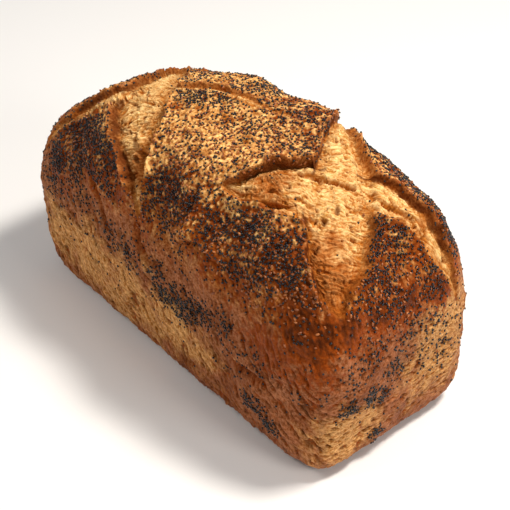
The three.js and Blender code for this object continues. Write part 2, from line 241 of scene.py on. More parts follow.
# narrow folds and cracks on the flanks, the ground to the right of the path standing proud
folds = [
    {"path": [(-62, -60), (-50, -72), (-40, -88)], "halfWidth": 2.6, "depth": 2.4, "lip": 2.0},
    {"path": [(-14, -64), (-13, -74), (-3, -82), (14, -78)], "halfWidth": 3.0, "depth": 3.2, "lip": 2.4},
    {"path": [(62, -57), (50, -57), (36, -55), (25, -59), (16, -67)],
     "halfWidth": 3.0, "depth": 2.6, "lip": 2.8},
    {"path": [(26, -58), (24, -50), (25, -42), (22, -34)], "halfWidth": 2.4, "depth": 1.8, "lip": 2.2},
    {"path": [(62, -106), (80, -103), (98, -104)], "halfWidth": 4.0, "depth": 2.2, "lip": 2.0},
]
# the same inside the tears, where one torn sheet hangs over another
tearSteps = [
    {"path": [(-20, -38), (-32, -38), (-46, -33)], "halfWidth": 3.2, "depth": 3.2, "lip": 2.4},
    {"path": [(86, 10), (81, 4), (73, -2), (66, -6), (60, -10)], "halfWidth": 1.8, "depth": 3.0, "lip": 3.0},
    {"path": [(112, 26), (104, 18), (96, 12), (88, 10)], "halfWidth": 2.0, "depth": 1.8, "lip": 1.6},
    {"path": [(76, -20), (66, -25), (56, -29), (46, -32)], "halfWidth": 2.0, "depth": 2.6, "lip": 2.2},
]
# broad swellings and hollows of the dough: place by x and tilt, spread in mm, height in mm
swells = [((104, 38), 26, 4.0), ((-76, 24), 28, -5.5), ((88, -124), 26, 2.4), ((24, 22), 22, 2.4),
          ((48, 36), 16, -2.6), ((-106, 30), 24, -4.5)]
# slow waves over the whole crust, the same as the solid's: height, direction per mm, start
lumps = [
    (0.9, (0.083, 0.041, 0.062), 0.4),
    (0.7, (-0.058, 0.097, 0.071), 2.1),
    (0.5, (0.142, -0.069, 0.118), 4.4),
    (0.4, (0.171, 0.154, -0.092), 1.3),
]
# heights, grains and distances of the relief in mm; a pair that starts or opens something is where it
# begins and where it is full, on a distance into the tear, a place or a noise
reliefSizes = {
    # ragged edges and the walls of a tear
    "raggedCoarse": 2.4, "raggedCoarseGrain": 15.0, "raggedFine": 1.7, "raggedFineGrain": 5.0,
    "raggedNick": 0.7, "raggedNickGrain": 2.2, "raggedHalfWidth": 7.0, "narrowest": 0.8,
    "openHalfWidth": (0.8, 2.0), "fullDepthHalfWidth": 9.0, "floorSwell": 2.2,
    "wallShare": 0.75, "wallLeast": 0.3, "brink": 0.2, "tornFrom": -0.3, "tornBy": 2.0, "bared": (-0.4, 0.4),
    # lips, overhanging crust and the singe under it
    "lipSpread": 8.0, "lipCrest": 1.5, "crestSpread": 1.3, "lipRagged": 0.45, "lipRaggedGrain": 6.0,
    "edgeSpread": 4.5, "rimSpread": 1.1, "rimOverhang": (0.2, 1.2), "curlSpread": 2.6, "curlEnds": (0.3, 1.7),
    "slideEnds": (1.8, 4.0), "singeAndShadeStarts": (-0.3, 0.4), "singeAndShadeEnds": (0.4, 1.8), "singeShade": 0.8,
    "singeAndShadeRagged": 1.4, "singeAndShadeDeepest": (7.0, 10.0), "foldEnds": 0.2, "foldWander": 1.6,
    # torn crumb
    "wanderGrain": 10.0, "warp": 3.0, "laneWander": 2.4, "laneGap": 40.0, "ridgeFall": 2.4,
    "strand": 0.8, "strandGrain": (2.9, 14.0, 10.0), "thread": 0.85, "threadGrain": (1.5, 8.0, 8.0),
    "strandBlend": (-1.0, 6.0), "strandFrom": 0.6, "strandRun": 4.0, "leastWeight": 1e-6,
    "flake": 1.1, "flakeGrain": (8.0, 6.0, 6.0), "flakeLayers": 2.4, "heave": 1.5, "heaveGrain": 14.0,
    "pit": 1.2, "pitGrain": 2.3, "pitOpens": (0.4, 0.7), "crumbStarts": (1.2, 4.2),
    "hole": 3.0, "holeGrain": 7.0, "holeOpens": (0.5, 0.72), "holeStarts": (1.0, 4.0), "gapShade": 1.2,
    # crown
    "blister": 0.7, "blisterGrain": 9.0, "wrinkle": 0.7, "wrinkleGrain": 4.2, "wrinkleCrest": 0.6,
    "wrinkleFall": 2.0, "pimple": 0.8, "pimpleGrain": 2.0,
    # walls, where the dough was dragged up the tin on a slant: cosine and sine of the slant
    "wallTop": (76.0, 104.0), "endFacing": (0.5, 0.8), "slantWay": (0.84, 0.55), "throughWall": 0.1,
    "wallWander": 0.8, "drag": 0.8, "dragGrain": (2.0, 10.0, 20.0), "dragEnds": (60.0, 96.0), "dragLost": 0.8,
    "wallPuff": 0.8, "wallPuffGrain": 11.0, "peel": 0.7, "peelGrain": 4.0, "wallPit": 1.3,
    "slantPitGrain": (2.3, 8.0, 20.0), "slantPitOpens": (0.14, 0.36),
    "levelPitGrain": (5.0, 1.8, 20.0), "levelPitOpens": (0.2, 0.5),
    "pitPatch": 22.0, "pitPatchOpens": (-0.25, 0.35), "pitLeast": 0.3,
    "pittedEnd": (90.0, 124.0), "pittedFront": (20.0, 50.0), "frontPits": 0.8,
    "fadeFromBase": 28.0, "marksFromBase": 6.0,
    # fibres that the crust's material draws
    "crumbFibre": (1.1, 5.5, 10.0), "slantFibre": (1.1, 2.2, 20.0), "levelFibre": (2.6, 1.0, 20.0),
    "fibreHeight": 62.0, "fibreHeightRagged": 14.0, "fibreFrom": 2.5, "fibreRagged": 2.0, "crownGrain": 1.5,
}


def bySide(pair, left):
    return np.where(left, pair[0], pair[1])


# a bell round nought
def bell(distance, size):
    return np.exp(-(distance / size) ** 2)


def keepLarger(field, near, values):
    field[near] = np.maximum(field[near], values)


# sharp crests from smooth noise
def ridges(points, grain, seed):
    return 1 - reliefSizes["ridgeFall"] * np.abs(noiseAt(points, grain, seed))


# opens the slashes one by one; where two meet, the deeper or the stronger one counts
def openTears(p, normals, uneven, wander):
    sizes = reliefSizes
    count = len(p)
    names = ("torn", "bared", "floor", "lip", "edge", "rim", "singedAndShaded", "tearIn", "strands", "strandWeight")
    tears = {name: np.zeros(count) for name in names}
    tears["strandWeight"] += sizes["leastWeight"]
    tears["slide"] = np.zeros((count, 3))
    tears["fibre"] = np.zeros((count, 3))
    tears["plain"] = np.ones(count, dtype=bool)
    ragged = sizes["raggedCoarse"] * noiseAt(p, sizes["raggedCoarseGrain"], 3)
    ragged += sizes["raggedFine"] * noiseAt(p, sizes["raggedFineGrain"], 4)
    ragged += sizes["raggedNick"] * noiseAt(p, sizes["raggedNickGrain"], 14)
    for number, slash in enumerate(slashes):
        track = layTrack(slash["path"], slash["halfWidths"])
        near, distance, along, halfWidth, leftward, toward = nearTrack(track, p, normals)
        left = leftward > 0
        wavering = ragged[near] * np.minimum(1.0, halfWidth / sizes["raggedHalfWidth"])
        halfWidth = np.maximum(sizes["narrowest"], halfWidth + wavering)
        inward = halfWidth - distance
        beyond = np.maximum(0.0, -inward)
        opened = smoothStep(*sizes["openHalfWidth"], halfWidth)
        shallow = np.minimum(1.0, halfWidth / sizes["fullDepthHalfWidth"])
        # walls down to a floor that swells in the middle
        run = np.minimum(bySide(slash["walls"], left), sizes["wallShare"] * halfWidth + sizes["wallLeast"])
        fallen = np.clip((inward + sizes["brink"]) / (run + sizes["brink"]), 0.0, 1.0)
        dropped = fallen * (2 - fallen) * opened
        swell = sizes["floorSwell"] * np.maximum(0.0, 1 - (distance / halfWidth) ** 2) * shallow
        tears["floor"][near] = np.minimum(tears["floor"][near], dropped * (swell - slash["depth"] * shallow))
        tornBy = np.minimum(run, sizes["tornBy"])
        keepLarger(tears["torn"], near, smoothStep(sizes["tornFrom"], tornBy, inward) * opened)
        keepLarger(tears["bared"], near, smoothStep(*sizes["bared"], inward) * opened)
        # lips beside it, sharpest at the very edge
        crest = sizes["lipCrest"] * bell(beyond, sizes["crestSpread"])
        raised = (bySide(slash["lips"], left) * bell(beyond, sizes["lipSpread"]) + crest) * shallow
        keepLarger(tears["lip"], near, raised * (1 + sizes["lipRagged"] * uneven[near]))
        keepLarger(tears["edge"], near, bell(beyond, sizes["edgeSpread"]) * shallow)
        # crust that hangs over the edge with its rim, partly painted highlight, and the singe below it,
        # partly painted shade
        overhang = bySide(slash["curls"], left) * shallow
        hanging = smoothStep(*sizes["rimOverhang"], overhang)
        keepLarger(tears["rim"], near, bell(beyond, sizes["rimSpread"]) * hanging)
        curl = overhang * bell(beyond, sizes["curlSpread"]) * (1 - smoothStep(*sizes["curlEnds"], inward))
        stronger = curl > np.linalg.norm(tears["slide"][near], axis=1)
        tears["slide"][near] = np.where(stronger[:, None], toward * curl[:, None], tears["slide"][near])
        exposed = inward - sizes["singeShade"] * overhang + sizes["singeAndShadeRagged"] * uneven[near]
        singeAndShade = bySide(slash["singesAndShades"], left) * shallow * (1 - smoothStep(*sizes["singeAndShadeEnds"], exposed))
        keepLarger(tears["singedAndShaded"], near, singeAndShade * smoothStep(*sizes["singeAndShadeStarts"], inward))
        # strands of the crumb, each tear with lanes of its own
        ways = [leftward, along] if slash.get("strandsAlong") else [along, leftward]
        lane = np.stack(ways + [np.full(len(near), sizes["laneGap"] * number)], axis=1)
        lane = lane + sizes["laneWander"] * wander[near]
        fibreFrom = sizes["fibreFrom"] + sizes["fibreRagged"] * uneven[near]
        deeper = inward > np.maximum(tears["tearIn"][near], fibreFrom)
        tears["fibre"][near[deeper]] = lane[deeper] / sizes["crumbFibre"]
        tears["plain"][near[deeper]] = False
        keepLarger(tears["tearIn"], near, inward)
        strands = sizes["strand"] * ridges(lane, sizes["strandGrain"], 5)
        strands += sizes["thread"] * ridges(lane, sizes["threadGrain"], 6)
        begun = smoothStep(sizes["strandFrom"] * run, run + sizes["strandRun"], inward)
        weight = smoothStep(*sizes["strandBlend"], inward) * opened
        tears["strands"][near] += weight * strands * begun
        tears["strandWeight"][near] += weight
    return tears


# creases with the ground beside them, and how far into a crease each point is
def raiseFolds(items, p, normals, wander):
    sizes = reliefSizes
    heights = np.zeros(len(p))
    creases = np.zeros(len(p))
    wavered = p + sizes["foldWander"] * wander
    for item in items:
        track = layTrack(item["path"], [item["halfWidth"]] * len(item["path"]))
        near, distance, along, halfWidth, leftward, _ = nearTrack(track, wavered, normals)
        share = along / track["along"][-1]
        ends = smoothStep(0.0, sizes["foldEnds"], np.minimum(share, 1 - share))
        groove = (1 - smoothStep(0.0, 1.0, distance / halfWidth)) * ends
        proud = item["lip"] * bell(distance, sizes["lipSpread"]) * (leftward <= 0)
        heights[near] += proud * ends - groove * item["depth"]
        keepLarger(creases, near, groove)
    return heights, creases


def slowSwells(p):
    slow = np.zeros(len(p))
    for height, way, begin in lumps:
        slow += height * np.sin(p @ np.asarray(way) + begin)
    for place, size, height in swells:
        middle = skinPoints([place[0]], [place[1]])
        slow += height * bell(np.linalg.norm(p - middle, axis=1), size)
    return slow


# torn crumb: strands, overlapping flakes, open pits and holes, from a little inside the tear on
def crumbRelief(p, tears, wander, step, gap):
    sizes = reliefSizes
    warped = p + sizes["warp"] * wander
    layers = noiseAt(warped, sizes["flakeGrain"], 7) * sizes["flakeLayers"]
    flakes = layers - np.floor(layers) - 0.5
    pits = smoothStep(*sizes["pitOpens"], noiseAt(warped, sizes["pitGrain"], 8))
    holes = smoothStep(*sizes["holeOpens"], noiseAt(p + wander, sizes["holeGrain"], 28))
    holes *= smoothStep(*sizes["holeStarts"], tears["tearIn"])
    inside = smoothStep(*sizes["crumbStarts"], tears["tearIn"])
    flaked = inside * (sizes["flake"] * flakes - sizes["pit"] * pits)
    crumb = tears["strands"] / tears["strandWeight"] + flaked
    shade = crumb - crumb[tears["torn"] > 0.5].mean() - sizes["gapShade"] * gap
    crumb += sizes["heave"] * noiseAt(p, sizes["heaveGrain"], 17) + step - sizes["hole"] * holes
    return crumb, shade, np.maximum(pits * inside, holes)


# crown: blisters, wrinkles and pimples
def crownMarks(p, wander):
    sizes = reliefSizes
    warped = p + sizes["warp"] * wander
    folded = np.abs(noiseAt(warped, sizes["wrinkleGrain"], 10))
    wrinkles = sizes["wrinkleCrest"] - folded * sizes["wrinkleFall"]
    pimples = noiseAt(p, sizes["pimpleGrain"], 15)
    marks = sizes["blister"] * noiseAt(p, sizes["blisterGrain"], 9)
    marks += sizes["wrinkle"] * wrinkles
    marks += sizes["pimple"] * pimples
    return marks, pimples


# walls: drag marks, puffs, orange peel and stretched pits; the crust's fibres follow the drag there
def wallMarks(p, normals, tears, uneven, wander):
    sizes = reliefSizes
    endFace = smoothStep(*sizes["endFacing"], np.abs(normals[:, 0]))
    cosine, sine = sizes["slantWay"]
    sideways = cosine * p[:, 0] + sine * p[:, 2]
    up = cosine * p[:, 2] - sine * p[:, 0]
    wavering = sizes["wallWander"] * wander
    slant = np.stack([sideways, up, p[:, 1] * sizes["throughWall"]], axis=1) + wavering
    level = np.stack([p[:, 1], p[:, 2], p[:, 0] * sizes["throughWall"]], axis=1) + wavering
    slantPits = smoothStep(*sizes["slantPitOpens"], noiseAt(slant, sizes["slantPitGrain"], 18))
    levelPits = smoothStep(*sizes["levelPitOpens"], noiseAt(level, sizes["levelPitGrain"], 23))
    pits = slantPits * (1 - endFace) + levelPits * endFace
    # pits in patches, and all over the near end and most of the front
    pitted = smoothStep(*sizes["pitPatchOpens"], noiseAt(p, sizes["pitPatch"], 29))
    front = sizes["frontPits"] * smoothStep(*sizes["pittedFront"], -p[:, 1])
    pitted = np.maximum(pitted, np.maximum(smoothStep(*sizes["pittedEnd"], p[:, 0]), front))
    pits *= sizes["pitLeast"] + (1 - sizes["pitLeast"]) * pitted
    fibreHeight = sizes["fibreHeight"] + sizes["fibreHeightRagged"] * uneven
    onWall = (p[:, 2] < fibreHeight) & (tears["tearIn"] <= 0)
    onEnd = onWall & (endFace > 0.5)
    tears["fibre"][onWall] = slant[onWall] / sizes["slantFibre"]
    tears["fibre"][onEnd] = level[onEnd] / sizes["levelFibre"]
    tears["plain"] &= ~onWall
    drag = noiseAt(slant, sizes["dragGrain"], 24) * (1 - endFace)
    drag *= 1 - sizes["dragLost"] * smoothStep(*sizes["dragEnds"], p[:, 0])
    marks = sizes["drag"] * drag
    marks += sizes["wallPuff"] * noiseAt(p, sizes["wallPuffGrain"], 19)
    peel = noiseAt(p + sizes["warp"] * wander, sizes["peelGrain"], 25)
    marks += sizes["peel"] * peel - sizes["wallPit"] * pits
    return marks, pits, drag


# the crust in place, and the masks that its tones need
def crustRelief(p, normals):
    sizes = reliefSizes
    uneven = noiseAt(p, sizes["lipRaggedGrain"], 27)
    wander = np.stack([noiseAt(p, sizes["wanderGrain"], 20 + k) for k in range(3)], axis=1)
    tears = openTears(p, normals, uneven, wander)
    fold, crease = raiseFolds(folds, p, normals, wander)
    step, gap = raiseFolds(tearSteps, p, normals, wander)
    crumb, crumbShade, hollow = crumbRelief(p, tears, wander, step, gap)
    onCrown, pimples = crownMarks(p, wander)
    onWalls, wallPits, drag = wallMarks(p, normals, tears, uneven, wander)
    lower = 1 - smoothStep(*sizes["wallTop"], p[:, 2])
    marks = onCrown * (1 - lower) + onWalls * lower
    fade = smoothStep(0.0, sizes["fadeFromBase"], p[:, 2])
    low = smoothStep(0.0, sizes["marksFromBase"], p[:, 2])
    torn, tearIn, plain = tears["torn"], tears["tearIn"], tears["plain"]
    push = fade * ((1 - torn) * (tears["lip"] + fold) + slowSwells(p) + tears["floor"] + torn * crumb)
    push += low * (1 - torn) * marks
    slide = tears["slide"] * (fade * (1 - smoothStep(*sizes["slideEnds"], tearIn)))[:, None]
    placed = p + normals * push[:, None] + slide
    fibre = tears["fibre"]
    fibre[plain] = placed[plain] / sizes["crownGrain"]
    masks = {
        "torn": torn, "bared": tears["bared"], "tearIn": tearIn, "rim": tears["rim"] * (1 - torn),
        "lipEdge": tears["edge"] * (1 - torn), "crease": crease, "crumbShade": crumbShade, "hollow": hollow,
        "marks": marks, "wallPits": wallPits * lower, "drag": drag, "pimples": pimples, "fibre": fibre,
        "singedAndShaded": tears["singedAndShaded"] * (1 - smoothStep(*sizes["singeAndShadeDeepest"], tearIn)),
    }
    return placed, masks


# places on the crust by x and tilt, or on an end by x, y and z, with a spread in mm and a strength
browning = [
    ((85, -42), 20, 0.7), ((64, -42), 18, 0.6), ((104, -52), 18, 0.8), ((116, -62), 22, 0.95),
    ((122, -78), 18, 0.5), ((-86, -48), 22, 0.6), ((-72, -48), 18, 0.65), ((-92, -66), 20, 0.6),
    ((4, -44), 20, 0.65), ((22, -42), 16, 0.6), ((48, -56), 18, 0.55), ((126, -8, 106), 26, 0.6),
    ((108, -2), 14, 0.6), ((116, -14), 18, 0.7), ((-106, 0), 26, 0.25), ((112, 44), 24, 0.55),
    ((84, 38), 24, 0.55), ((30, 14), 26, 0.4), ((10, 32), 34, 0.4), ((-60, 44), 34, 0.4),
    ((60, 52), 30, 0.4), ((-8, -62), 16, 0.5), ((-30, -2), 16, 0.4), ((40, -45), 18, 0.6),
    ((54, -45), 17, 0.6), ((34, -54), 14, 0.45), ((112, 4), 13, 0.65), ((74, -36), 14, 0.4),
    ((-44, -54), 16, 0.7), ((-34, -60), 14, 0.65), ((-56, -58), 14, 0.65), ((96, -78), 22, 0.55),
    ((121, 0), 16, 0.6), ((121, 14), 14, 0.55), ((127, 20, 100), 18, 0.5), ((70, -60), 20, 0.5),
    ((129, -36, 103), 13, 1.0), ((131, -17, 103), 13, 1.0), ((131, 3, 103), 13, 0.95),
    ((131, 24, 101), 13, 0.85),
]
# torn crumb that baked to orange
toasting = [
    ((58, -21), 18, 0.65), ((110, -37), 22, 1.0), ((100, -26), 18, 0.75), ((-26, -46), 20, 0.6),
    ((110, 26), 18, 0.4), ((-100, -42), 18, 0.5), ((122, -46), 14, 0.9),
]
# walls that stayed light
paling = [
    ((-100, -112), 28, 0.8), ((-64, -114), 30, 0.9), ((-26, -114), 26, 0.8), ((10, -116), 24, 0.9),
    ((36, -120), 18, 0.7), ((134, -38, 30), 24, 1.0), ((134, 28, 46), 30, 0.7), ((134, 30, 76), 26, 0.9),
    ((-2, -84), 8, 0.6), ((-134, 0, 36), 50, 0.7), ((0, 116), 90, 0.7), ((-104, -124), 22, 0.8),
    ((-76, -126), 22, 0.8), ((-44, -127), 22, 0.8), ((-12, -128), 20, 0.7),
]
# where the black and the brown seeds lie thick
darkSeedPlaces = [
    ((-86, -47), 15, 1.35), ((-72, -46), 12, 1.3), ((-96, -64), 16, 0.95), ((-80, -62), 14, 0.95),
    ((-64, -54), 10, 0.8), ((-66, -42), 10, 1.0), ((-54, -47), 10, 1.0), ((-44, -51), 8, 0.9),
    ((-98, -80), 16, 0.5), ((-70, -78), 12, 0.4), ((-36, -6), 11, 1.0), ((-26, -5), 12, 1.0),
    ((-12, -1), 12, 0.9), ((2, -6), 20, 0.5), ((24, -4), 22, 0.55), ((48, 2), 16, 0.65),
    ((10, -24), 24, 0.4), ((-22, -26), 10, 0.4), ((34, -16), 16, 0.4), ((-44, -58), 10, 0.5),
    ((-54, -56), 10, 0.7), ((0, -45), 15, 0.95), ((14, -44), 13, 0.9), ((26, -39), 10, 0.7),
    ((-10, -54), 12, 0.8), ((10, -56), 11, 0.7), ((56, -40), 13, 0.95), ((70, -37), 11, 1.25),
    ((84, -37), 11, 1.3), ((94, -43), 9, 1.2), ((62, -50), 14, 0.7), ((80, -49), 14, 0.75),
    ((40, -46), 12, 0.75), ((104, 1), 8, 1.3), ((110, -4), 9, 1.3), ((116, -13), 9, 1.2),
    ((113, 9), 10, 0.95), ((121, -18), 10, 0.9), ((120, 2), 12, 0.85), ((124, -30), 10, 0.6),
    ((128, -8, 108), 16, 0.6), ((128, 18, 106), 16, 0.6), ((134, 8, 88), 24, 0.3),
    ((134, -28, 82), 20, 0.3), ((30, 12), 17, 0.75), ((45, 17), 10, 0.8), ((10, 11), 14, 0.65),
    ((-14, 16), 20, 0.7), ((62, 35), 16, 0.9), ((80, 37), 16, 0.95), ((98, 39), 16, 0.9),
    ((114, 45), 14, 0.8), ((-108, -2), 24, 0.8), ((-90, 14), 18, 0.6), ((-40, 30), 40, 0.42),
    ((-60, 55), 36, 0.3), ((20, 56), 36, 0.38), ((10, -98), 10, 1.0), ((22, -95), 12, 1.0),
    ((34, -94), 10, 0.95), ((24, -105), 8, 0.9), ((46, -91), 8, 0.8), ((64, -84), 8, 0.6),
    ((6, -86), 9, 0.6), ((-40, -86), 14, 0.35), ((-20, -88), 14, 0.4), ((60, -90), 14, 0.25),
    ((82, -96), 14, 0.25), ((134, -38, 54), 8, 1.0), ((134, -24, 55), 8, 1.0), ((134, -15, 47), 6, 1.0),
    ((134, -8, 64), 12, 0.5), ((134, -15, 17), 6, 1.0), ((84, -122), 9, 0.9), ((94, -129), 8, 0.9),
    ((134, 30, 60), 18, 0.25),
]
redSeedPlaces = [
    ((76, -44), 24, 1.0), ((100, -47), 16, 1.0), ((58, -50), 16, 0.6), ((114, -41), 14, 0.6),
    ((118, -56), 16, 0.2), ((124, -22), 18, 0.8), ((126, 0), 20, 0.6), ((130, -10, 104), 20, 0.5),
    ((10, -18), 34, 0.75), ((38, -6), 24, 0.75), ((-20, -24), 20, 0.65), ((16, -46), 18, 0.6),
    ((-82, -50), 22, 0.9), ((84, 38), 26, 0.7), ((24, 14), 24, 0.7), ((-104, 0), 26, 0.7),
    ((-14, -58), 14, 0.4),
]


# the strongest of the places at each point, fading with distance
def spread(p, places, steepness):
    total = np.zeros(len(p))
    for where, size, strength in places:
        middle = np.array([where], dtype=float) if len(where) == 3 else skinPoints([where[0]], [where[1]])
        reach = np.linalg.norm(p - middle, axis=1) / size
        total = np.maximum(total, strength * np.exp(-reach ** steepness))
    return total


# even steps from -1 to 1, drawn closer together towards the ends
def bunched(value, angle):
    return np.sin(value * angle) / np.sin(angle)


# points of the dome in the directions u, v, a share of the way from its top to its rim
def domePoints(u, v, share):
    rise = np.maximum(0.0, 1 - share ** loafForm["domePlan"]) ** (1 / loafForm["domeRise"])
    exponent = squareness(np.full_like(rise, loafForm["shoulder"]), rise)
    scale = share / np.maximum(planNorm(u, v, exponent), 1e-9)
    x = loafForm["length"] / 2 * u * scale
    y = loafForm["width"] / 2 * v * scale
    return np.stack([x, y, loafForm["shoulder"] + rise * (crownZ(x) - loafForm["shoulder"])], axis=1)


# grid over the crown, then rings down over the dome's edge and the walls, then the flat base
columns, rows = loafForm["crownColumns"], loafForm["crownRows"]
u, v = np.meshgrid(bunched(np.linspace(-1, 1, columns + 1), loafForm["bunchAlong"]),
                   bunched(np.linspace(-1, 1, rows + 1), loafForm["bunchAcross"]))
u, v = u.ravel(), v.ravel()
skin = [domePoints(u, v, loafForm["crownBorder"] * np.maximum(np.abs(u), np.abs(v)))]
number = np.arange(len(u)).reshape(rows + 1, columns + 1)
fourCorners = [number[:-1, :-1], number[:-1, 1:], number[1:, 1:], number[1:, :-1]]
faces = [np.stack(fourCorners, axis=-1).reshape(-1, 4)]
ring = np.concatenate([number[0, :-1], number[:-1, -1], number[-1, :0:-1], number[:0:-1, 0]])
ringU, ringV = u[ring], v[ring]
borderRise = (1 - loafForm["crownBorder"] ** loafForm["domePlan"]) ** (1 / loafForm["domeRise"])
ringSkins = []
for rise in np.linspace(borderRise, 0, loafForm["domeRows"] + 1)[1:-1]:
    share = (1 - rise ** loafForm["domeRise"]) ** (1 / loafForm["domePlan"])
    ringSkins.append(domePoints(ringU, ringV, np.full_like(ringU, share)))
edgeAngles = np.linspace(0, math.pi / 2, loafForm["edgeRows"] + 1)[1:]
levels = np.r_[np.linspace(loafForm["shoulder"], loafForm["baseEdge"], loafForm["wallRows"]),
               loafForm["baseEdge"] * (1 - np.sin(edgeAngles))]
for level in levels:
    z = np.full_like(ringU, level)
    halfLength, halfWidth = halfSizes(z)
    scale = 1 / planNorm(ringU, ringV, squareness(z, np.zeros_like(z)))
    ringSkins.append(np.stack([halfLength * ringU * scale, halfWidth * ringV * scale, z], axis=1))
upper = ring
total = len(u)
for ringSkin in ringSkins:
    lower = total + np.arange(len(ring))
    faces.append(np.stack([upper, lower, np.roll(lower, -1), np.roll(upper, -1)], axis=-1))
    skin.append(ringSkin)
    total += len(ring)
    upper = lower
skin = np.concatenate(skin)
quads = np.concatenate(faces)
normals = skinNormals(skin)
print("loaf skin laid out,", len(skin), "points,", len(quads), "quads")

crust, masks = crustRelief(skin, normals)
crust[:, 2] = np.maximum(crust[:, 2], 0.0)
crust[upper, 2] = 0.0
print("crust raised, top at", round(float(crust[:, 2].max()), 1), "mm")

# golden where it rose, caramel to near black where it caught the heat, rosy tan on the walls, pale torn
# crumb;
# the tones for the singe under the lips, the crumb's hollows and the wall pits also serve as painted shade,
# and the rim tone as painted highlight
crustTones = {
    "golden": "#fbc67c", "goldenDeep": "#b2661f", "caramel": "#90410e", "burnt": "#321206", "rim": "#b06634",
    "singedAndShaded": "#52200c", "rose": "#a06440", "roseDeep": "#824826", "tan": "#ce9a5e", "wallPit": "#5a2e0e",
    "baseEdge": "#683813", "crumb": "#f0c684", "crumbDeep": "#b66e26", "crumbHollow": "#6c360e",
    "toasted": "#a4581a",
}
# grains and heights in mm; a mottle is the share of patches, flecks and grain; a pair is where something
# begins and where it is full; the rest are strengths
toning = {
    "patchMm": 9.0, "fleckMm": 3.2, "grainMm": 1.5, "slowPatchMm": 17.0, "toneFade": 2, "seedFade": 3,
    "crownHeights": (86.0, 126.0), "crownSlow": 10.0, "crownPatch": 4.0,
    "goldenMottle": (0.55, 0.5, 0.0), "goldenLitPimples": 0.5, "goldenFlank": 0.6,
    "flankHeights": (116.0, 138.0), "goldenBlend": (-0.45, 0.68),
    "roseFleck": 0.5, "roseBlend": (-0.3, 0.8), "paleMottle": (0.35, 0.15, 0.0), "paleBlend": (0.1, 0.8),
    "wallPits": 0.85,
    "brownMottle": (0.16, 0.3, 0.25), "brownEdge": 0.12, "markLightAndShade": 0.25, "caramelBlend": (0.18, 0.5),
    "burntBlend": (0.55, 1.0), "burnt": 0.78,
    "speckle": (0.0, 0.1, 0.2), "speckleLitPimples": 0.25, "speckleDrag": 0.2, "rim": 0.85, "crease": 0.6,
    "crumbFleck": 0.3, "crumbBlend": (-0.8, 0.8), "toastMottle": (0.35, 0.25, 0.0),
    "toastBlend": (0.15, 0.75), "toasted": 0.85, "toastedAndShadedEdge": 0.45, "toastedAndShadedEdgeMm": (0.5, 3.2),
    "hollow": 0.8, "hollowShade": (-1.6, -0.7), "singedAndShaded": 0.9,
    "baseEdge": 0.6, "baseEdgeHeights": (1.0, 8.0), "baseEdgePatch": 2.0,
    "seedsTorn": (0.02, 0.35), "seedsLost": 0.98, "seedShade": 0.38,
    "darkMottle": (0.4, 0.6, 0.0), "darkCrown": 0.22, "darkWall": 0.03, "darkWallHeights": (8.0, 60.0),
    "redMottle": (-0.4, 0.4, 0.0), "redCrown": 0.18, "redAlone": 1.2, "redAmongDark": 0.6,
    "shineLeast": 0.35, "shineBrowned": 0.5, "shineBlend": (0.1, 0.8), "shineTorn": 0.6,
}
tones = {name: np.array(hexColour(value))[None] for name, value in crustTones.items()}


def blend(first, second, share):
    return first + (second - first) * np.clip(share, 0, 1)[:, None]


# patches, flecks and grain together
def mottle(shares):
    return shares[0] * patch + shares[1] * fleck + shares[2] * grain


def stepOf(name, value):
    return smoothStep(*toning[name], value)


patch = noiseAt(skin, toning["patchMm"], 11)
fleck = noiseAt(crust, toning["fleckMm"], 12)
grain = noiseAt(crust, toning["grainMm"], 13)
slowPatch = noiseAt(skin, toning["slowPatchMm"], 26)
height = skin[:, 2]
torn = masks["torn"]

# crown and walls
upperCrust = stepOf("crownHeights", height + toning["crownSlow"] * slowPatch + toning["crownPatch"] * patch)
# painted light and shade: golden lighter on the pimples' crests, deeper between them
deepened = mottle(toning["goldenMottle"]) - toning["goldenLitPimples"] * masks["pimples"]
deepened += toning["goldenFlank"] * (1 - stepOf("flankHeights", height))
golden = blend(tones["golden"], tones["goldenDeep"], stepOf("goldenBlend", deepened))
rosy = slowPatch + toning["roseFleck"] * fleck
wall = blend(tones["rose"], tones["roseDeep"], stepOf("roseBlend", rosy))
pale = spread(skin, paling, toning["toneFade"]) + mottle(toning["paleMottle"])
wall = blend(wall, tones["tan"], stepOf("paleBlend", pale))
# painted shade: the pits, which are sunk in the mesh, darkened as well
wall = blend(wall, tones["wallPit"], toning["wallPits"] * masks["wallPits"])
tone = blend(wall, golden, upperCrust)

# browned places, specks, rims and creases, with painted light and shade that follow the relief, the rims and
# the creases
browned = spread(skin, browning, toning["toneFade"]) + mottle(toning["brownMottle"])
browned += toning["brownEdge"] * masks["lipEdge"]
# painted light and shade: less brown on the relief's crests, browner in its hollows and pits
browned -= toning["markLightAndShade"] * masks["marks"]
tone = blend(tone, tones["caramel"], stepOf("caramelBlend", browned))
tone = blend(tone, tones["burnt"], toning["burnt"] * stepOf("burntBlend", browned))
# specks: random flecks and grain, lighter on the pimples as painted light, and lighter along the walls' drag
# marks
speckle = mottle(toning["speckle"]) + toning["speckleLitPimples"] * masks["pimples"]
speckle += toning["speckleDrag"] * masks["drag"] * (1 - upperCrust)
tone = tone * (1 + speckle)[:, None]
# the overhanging lips' rim: its lighter orange is partly the thin crust's colour and partly painted highlight
# on an edge that catches the light
tone = blend(tone, tones["rim"], toning["rim"] * masks["rim"])
# painted shade: the folds' creases darkened towards caramel
tone = blend(tone, tones["caramel"], toning["crease"] * masks["crease"])

# torn crumb, with painted shade on its low strands, in its hollows and near the lips
crumbLight = masks["crumbShade"] + toning["crumbFleck"] * fleck
crumb = blend(tones["crumbDeep"], tones["crumb"], stepOf("crumbBlend", crumbLight))
toasted = spread(skin, toasting, toning["toneFade"]) + mottle(toning["toastMottle"])
crumb = blend(crumb, tones["toasted"], toning["toasted"] * stepOf("toastBlend", toasted))
